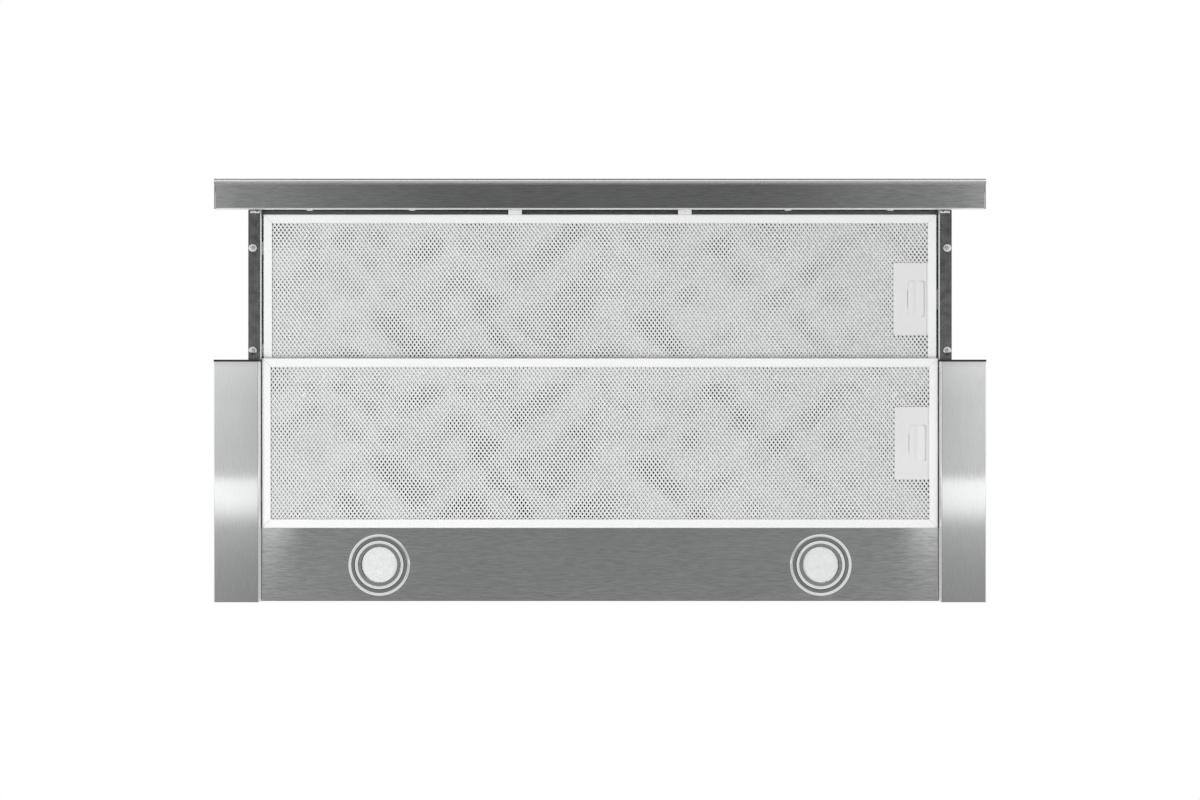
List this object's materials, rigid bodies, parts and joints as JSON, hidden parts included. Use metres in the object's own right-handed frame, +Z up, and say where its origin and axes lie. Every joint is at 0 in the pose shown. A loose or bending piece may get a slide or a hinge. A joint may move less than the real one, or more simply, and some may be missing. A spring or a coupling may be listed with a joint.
{
  "type": "pull out range hood",
  "caption": "Slim cabinet hood with steel side pods, a pull-out filter drawer on ball slides, latched mesh grease filters, a lamp strip and a blower box with a round duct collar.",
  "frame": {"origin": "centre of the four cabinet screw holes, on the top face of the tray", "axes": "+Z up, -Y towards the cook where the drawer comes out, +X to the right of someone facing the hood"},
  "size_m": [0.898, 0.4931, 0.242],
  "materials": {
    "brushed_stainless": "brushed, satin",
    "galvanised_sheet": "galvanised, faint spangle",
    "dark_steel_arm": "dark satin steel",
    "zinc_plated_rail": "bright zinc",
    "ball_and_cage_steel": "yellow passivated strip",
    "white_coated_aluminium": "satin white coating",
    "expanded_aluminium": "bright mill finish strands",
    "white_plastic": "moulded, satin",
    "grey_latch_plastic": "moulded, fine grain",
    "nickel_bezel": "satin nickel plating",
    "opal_lens": "frosted opal",
    "die_cast_housing": "die cast",
    "spring_steel": "rolled strip",
    "white_housing_plastic": "moulded",
    "grey_blower_plastic": "moulded",
    "black_plastic": "moulded, fine grain",
    "satin_button_plastic": "satin",
    "flap_aluminium": "pressed sheet",
    "nickel_screws": "nickel plated"
  },
  "bodies": {
    "hood_body": {"chassis_tray": "galvanised_sheet", "motor_box": "galvanised_sheet", "left_pod_cover": "brushed_stainless", "right_pod_cover": "brushed_stainless", "left_pod_cap": "black_plastic", "right_pod_cap": "black_plastic", "lamp_panel": "brushed_stainless", "left_lamp_bezel": "nickel_bezel", "right_lamp_bezel": "nickel_bezel", "left_lamp_lens": "opal_lens", "right_lamp_lens": "opal_lens", "left_led_housing": "die_cast_housing", "right_led_housing": "die_cast_housing", "lamp_clips": "spring_steel", "led_driver": "white_housing_plastic", "left_outer_rail": "zinc_plated_rail", "right_outer_rail": "zinc_plated_rail", "scroll_left": "grey_blower_plastic", "scroll_right": "grey_blower_plastic", "motor": "die_cast_housing", "motor_bracket": "galvanised_sheet", "inlet_grille": "grey_blower_plastic", "capacitor": "white_housing_plastic", "terminal_box": "white_housing_plastic", "cable_gland": "black_plastic", "duct_collar": "black_plastic", "body_screws": "nickel_screws", "drawer_switch": "black_plastic"},
    "left_cage": {"left_ball_cage": "ball_and_cage_steel"},
    "right_cage": {"right_ball_cage": "ball_and_cage_steel"},
    "drawer": {"fascia": "brushed_stainless", "fascia_lip": "brushed_stainless", "front_rail": "galvanised_sheet", "rear_rail": "galvanised_sheet", "left_arm": "dark_steel_arm", "right_arm": "dark_steel_arm", "drawer_deck": "galvanised_sheet", "filter_stops": "white_plastic", "fascia_screws": "nickel_screws", "arm_screws": "nickel_screws", "control_housing": "black_plastic", "left_inner_rail": "zinc_plated_rail", "right_inner_rail": "zinc_plated_rail", "front_filter_frame": "white_coated_aluminium", "front_filter_mesh": "expanded_aluminium", "front_latch_housing": "grey_latch_plastic"},
    "light_button": {"light_button": "satin_button_plastic"},
    "off_button": {"off_button": "satin_button_plastic"},
    "low_button": {"low_button": "satin_button_plastic"},
    "medium_button": {"medium_button": "satin_button_plastic"},
    "high_button": {"high_button": "satin_button_plastic"},
    "front_latch": {"front_latch_button": "grey_latch_plastic"},
    "rear_filter": {"rear_filter_frame": "white_coated_aluminium", "rear_filter_mesh": "expanded_aluminium", "rear_latch_housing": "grey_latch_plastic"},
    "rear_latch": {"rear_latch_button": "grey_latch_plastic"},
    "fan": {"impeller": "grey_blower_plastic"},
    "front_flap": {"front_flap": "flap_aluminium"},
    "rear_flap": {"rear_flap": "flap_aluminium"},
    "plunger": {"switch_plunger": "black_plastic"}
  },
  "joints": [
    {"name": "drawer_slide", "type": "slide", "parent": "hood_body", "child": "drawer", "axis": [0, 1, 0], "range_m": [0, 0.171]},
    {"name": "left_cage_roll", "type": "slide", "parent": "hood_body", "child": "left_cage", "axis": [0, 1, 0], "range_m": [0, 0.0855]},
    {"name": "right_cage_roll", "type": "slide", "parent": "hood_body", "child": "right_cage", "axis": [0, 1, 0], "range_m": [0, 0.0855]},
    {"name": "light_press", "type": "slide", "parent": "drawer", "child": "light_button", "axis": [0, 1, 0], "range_m": [0, 0.0025], "stiffness_N_per_m": 400, "springref_m": -0.001},
    {"name": "off_press", "type": "slide", "parent": "drawer", "child": "off_button", "axis": [0, 1, 0], "range_m": [0, 0.0025], "stiffness_N_per_m": 400, "springref_m": -0.001},
    {"name": "low_press", "type": "slide", "parent": "drawer", "child": "low_button", "axis": [0, 1, 0], "range_m": [0, 0.0025], "stiffness_N_per_m": 400, "springref_m": -0.001},
    {"name": "medium_press", "type": "slide", "parent": "drawer", "child": "medium_button", "axis": [0, 1, 0], "range_m": [0, 0.0025], "stiffness_N_per_m": 400, "springref_m": -0.001},
    {"name": "high_press", "type": "slide", "parent": "drawer", "child": "high_button", "axis": [0, 1, 0], "range_m": [0, 0.0025], "stiffness_N_per_m": 400, "springref_m": -0.001},
    {"name": "front_latch_slide", "type": "slide", "parent": "drawer", "child": "front_latch", "axis": [-1, 0, 0], "range_m": [0, 0.005], "stiffness_N_per_m": 400, "springref_m": -0.002},
    {"name": "rear_filter_swing", "type": "hinge", "parent": "hood_body", "child": "rear_filter", "pos_m": [-0.3944, 0, -0.046], "axis": [0, 1, 0], "range_deg": [0, 15]},
    {"name": "rear_latch_slide", "type": "slide", "parent": "rear_filter", "child": "rear_latch", "axis": [-1, 0, 0], "range_m": [0, 0.005], "stiffness_N_per_m": 400, "springref_m": -0.002},
    {"name": "fan_spin", "type": "hinge", "parent": "hood_body", "child": "fan", "pos_m": [0, 0, 0.068], "axis": [1, 0, 0], "continuous": true},
    {"name": "front_flap_swing", "type": "hinge", "parent": "hood_body", "child": "front_flap", "pos_m": [0, 0.0344, 0.157], "axis": [-1, 0, 0], "range_deg": [0, 80]},
    {"name": "rear_flap_swing", "type": "hinge", "parent": "hood_body", "child": "rear_flap", "pos_m": [0, 0.0396, 0.157], "axis": [1, 0, 0], "range_deg": [0, 80]},
    {"name": "plunger_press", "type": "slide", "parent": "hood_body", "child": "plunger", "axis": [0, 1, 0], "range_m": [0, 0.002], "stiffness_N_per_m": 300, "springref_m": -0.001}
  ],
  "couplings": [
    {"joint": "left_cage_roll", "follows": "drawer_slide", "ratio": 0.5},
    {"joint": "right_cage_roll", "follows": "drawer_slide", "ratio": 0.5}
  ]
}
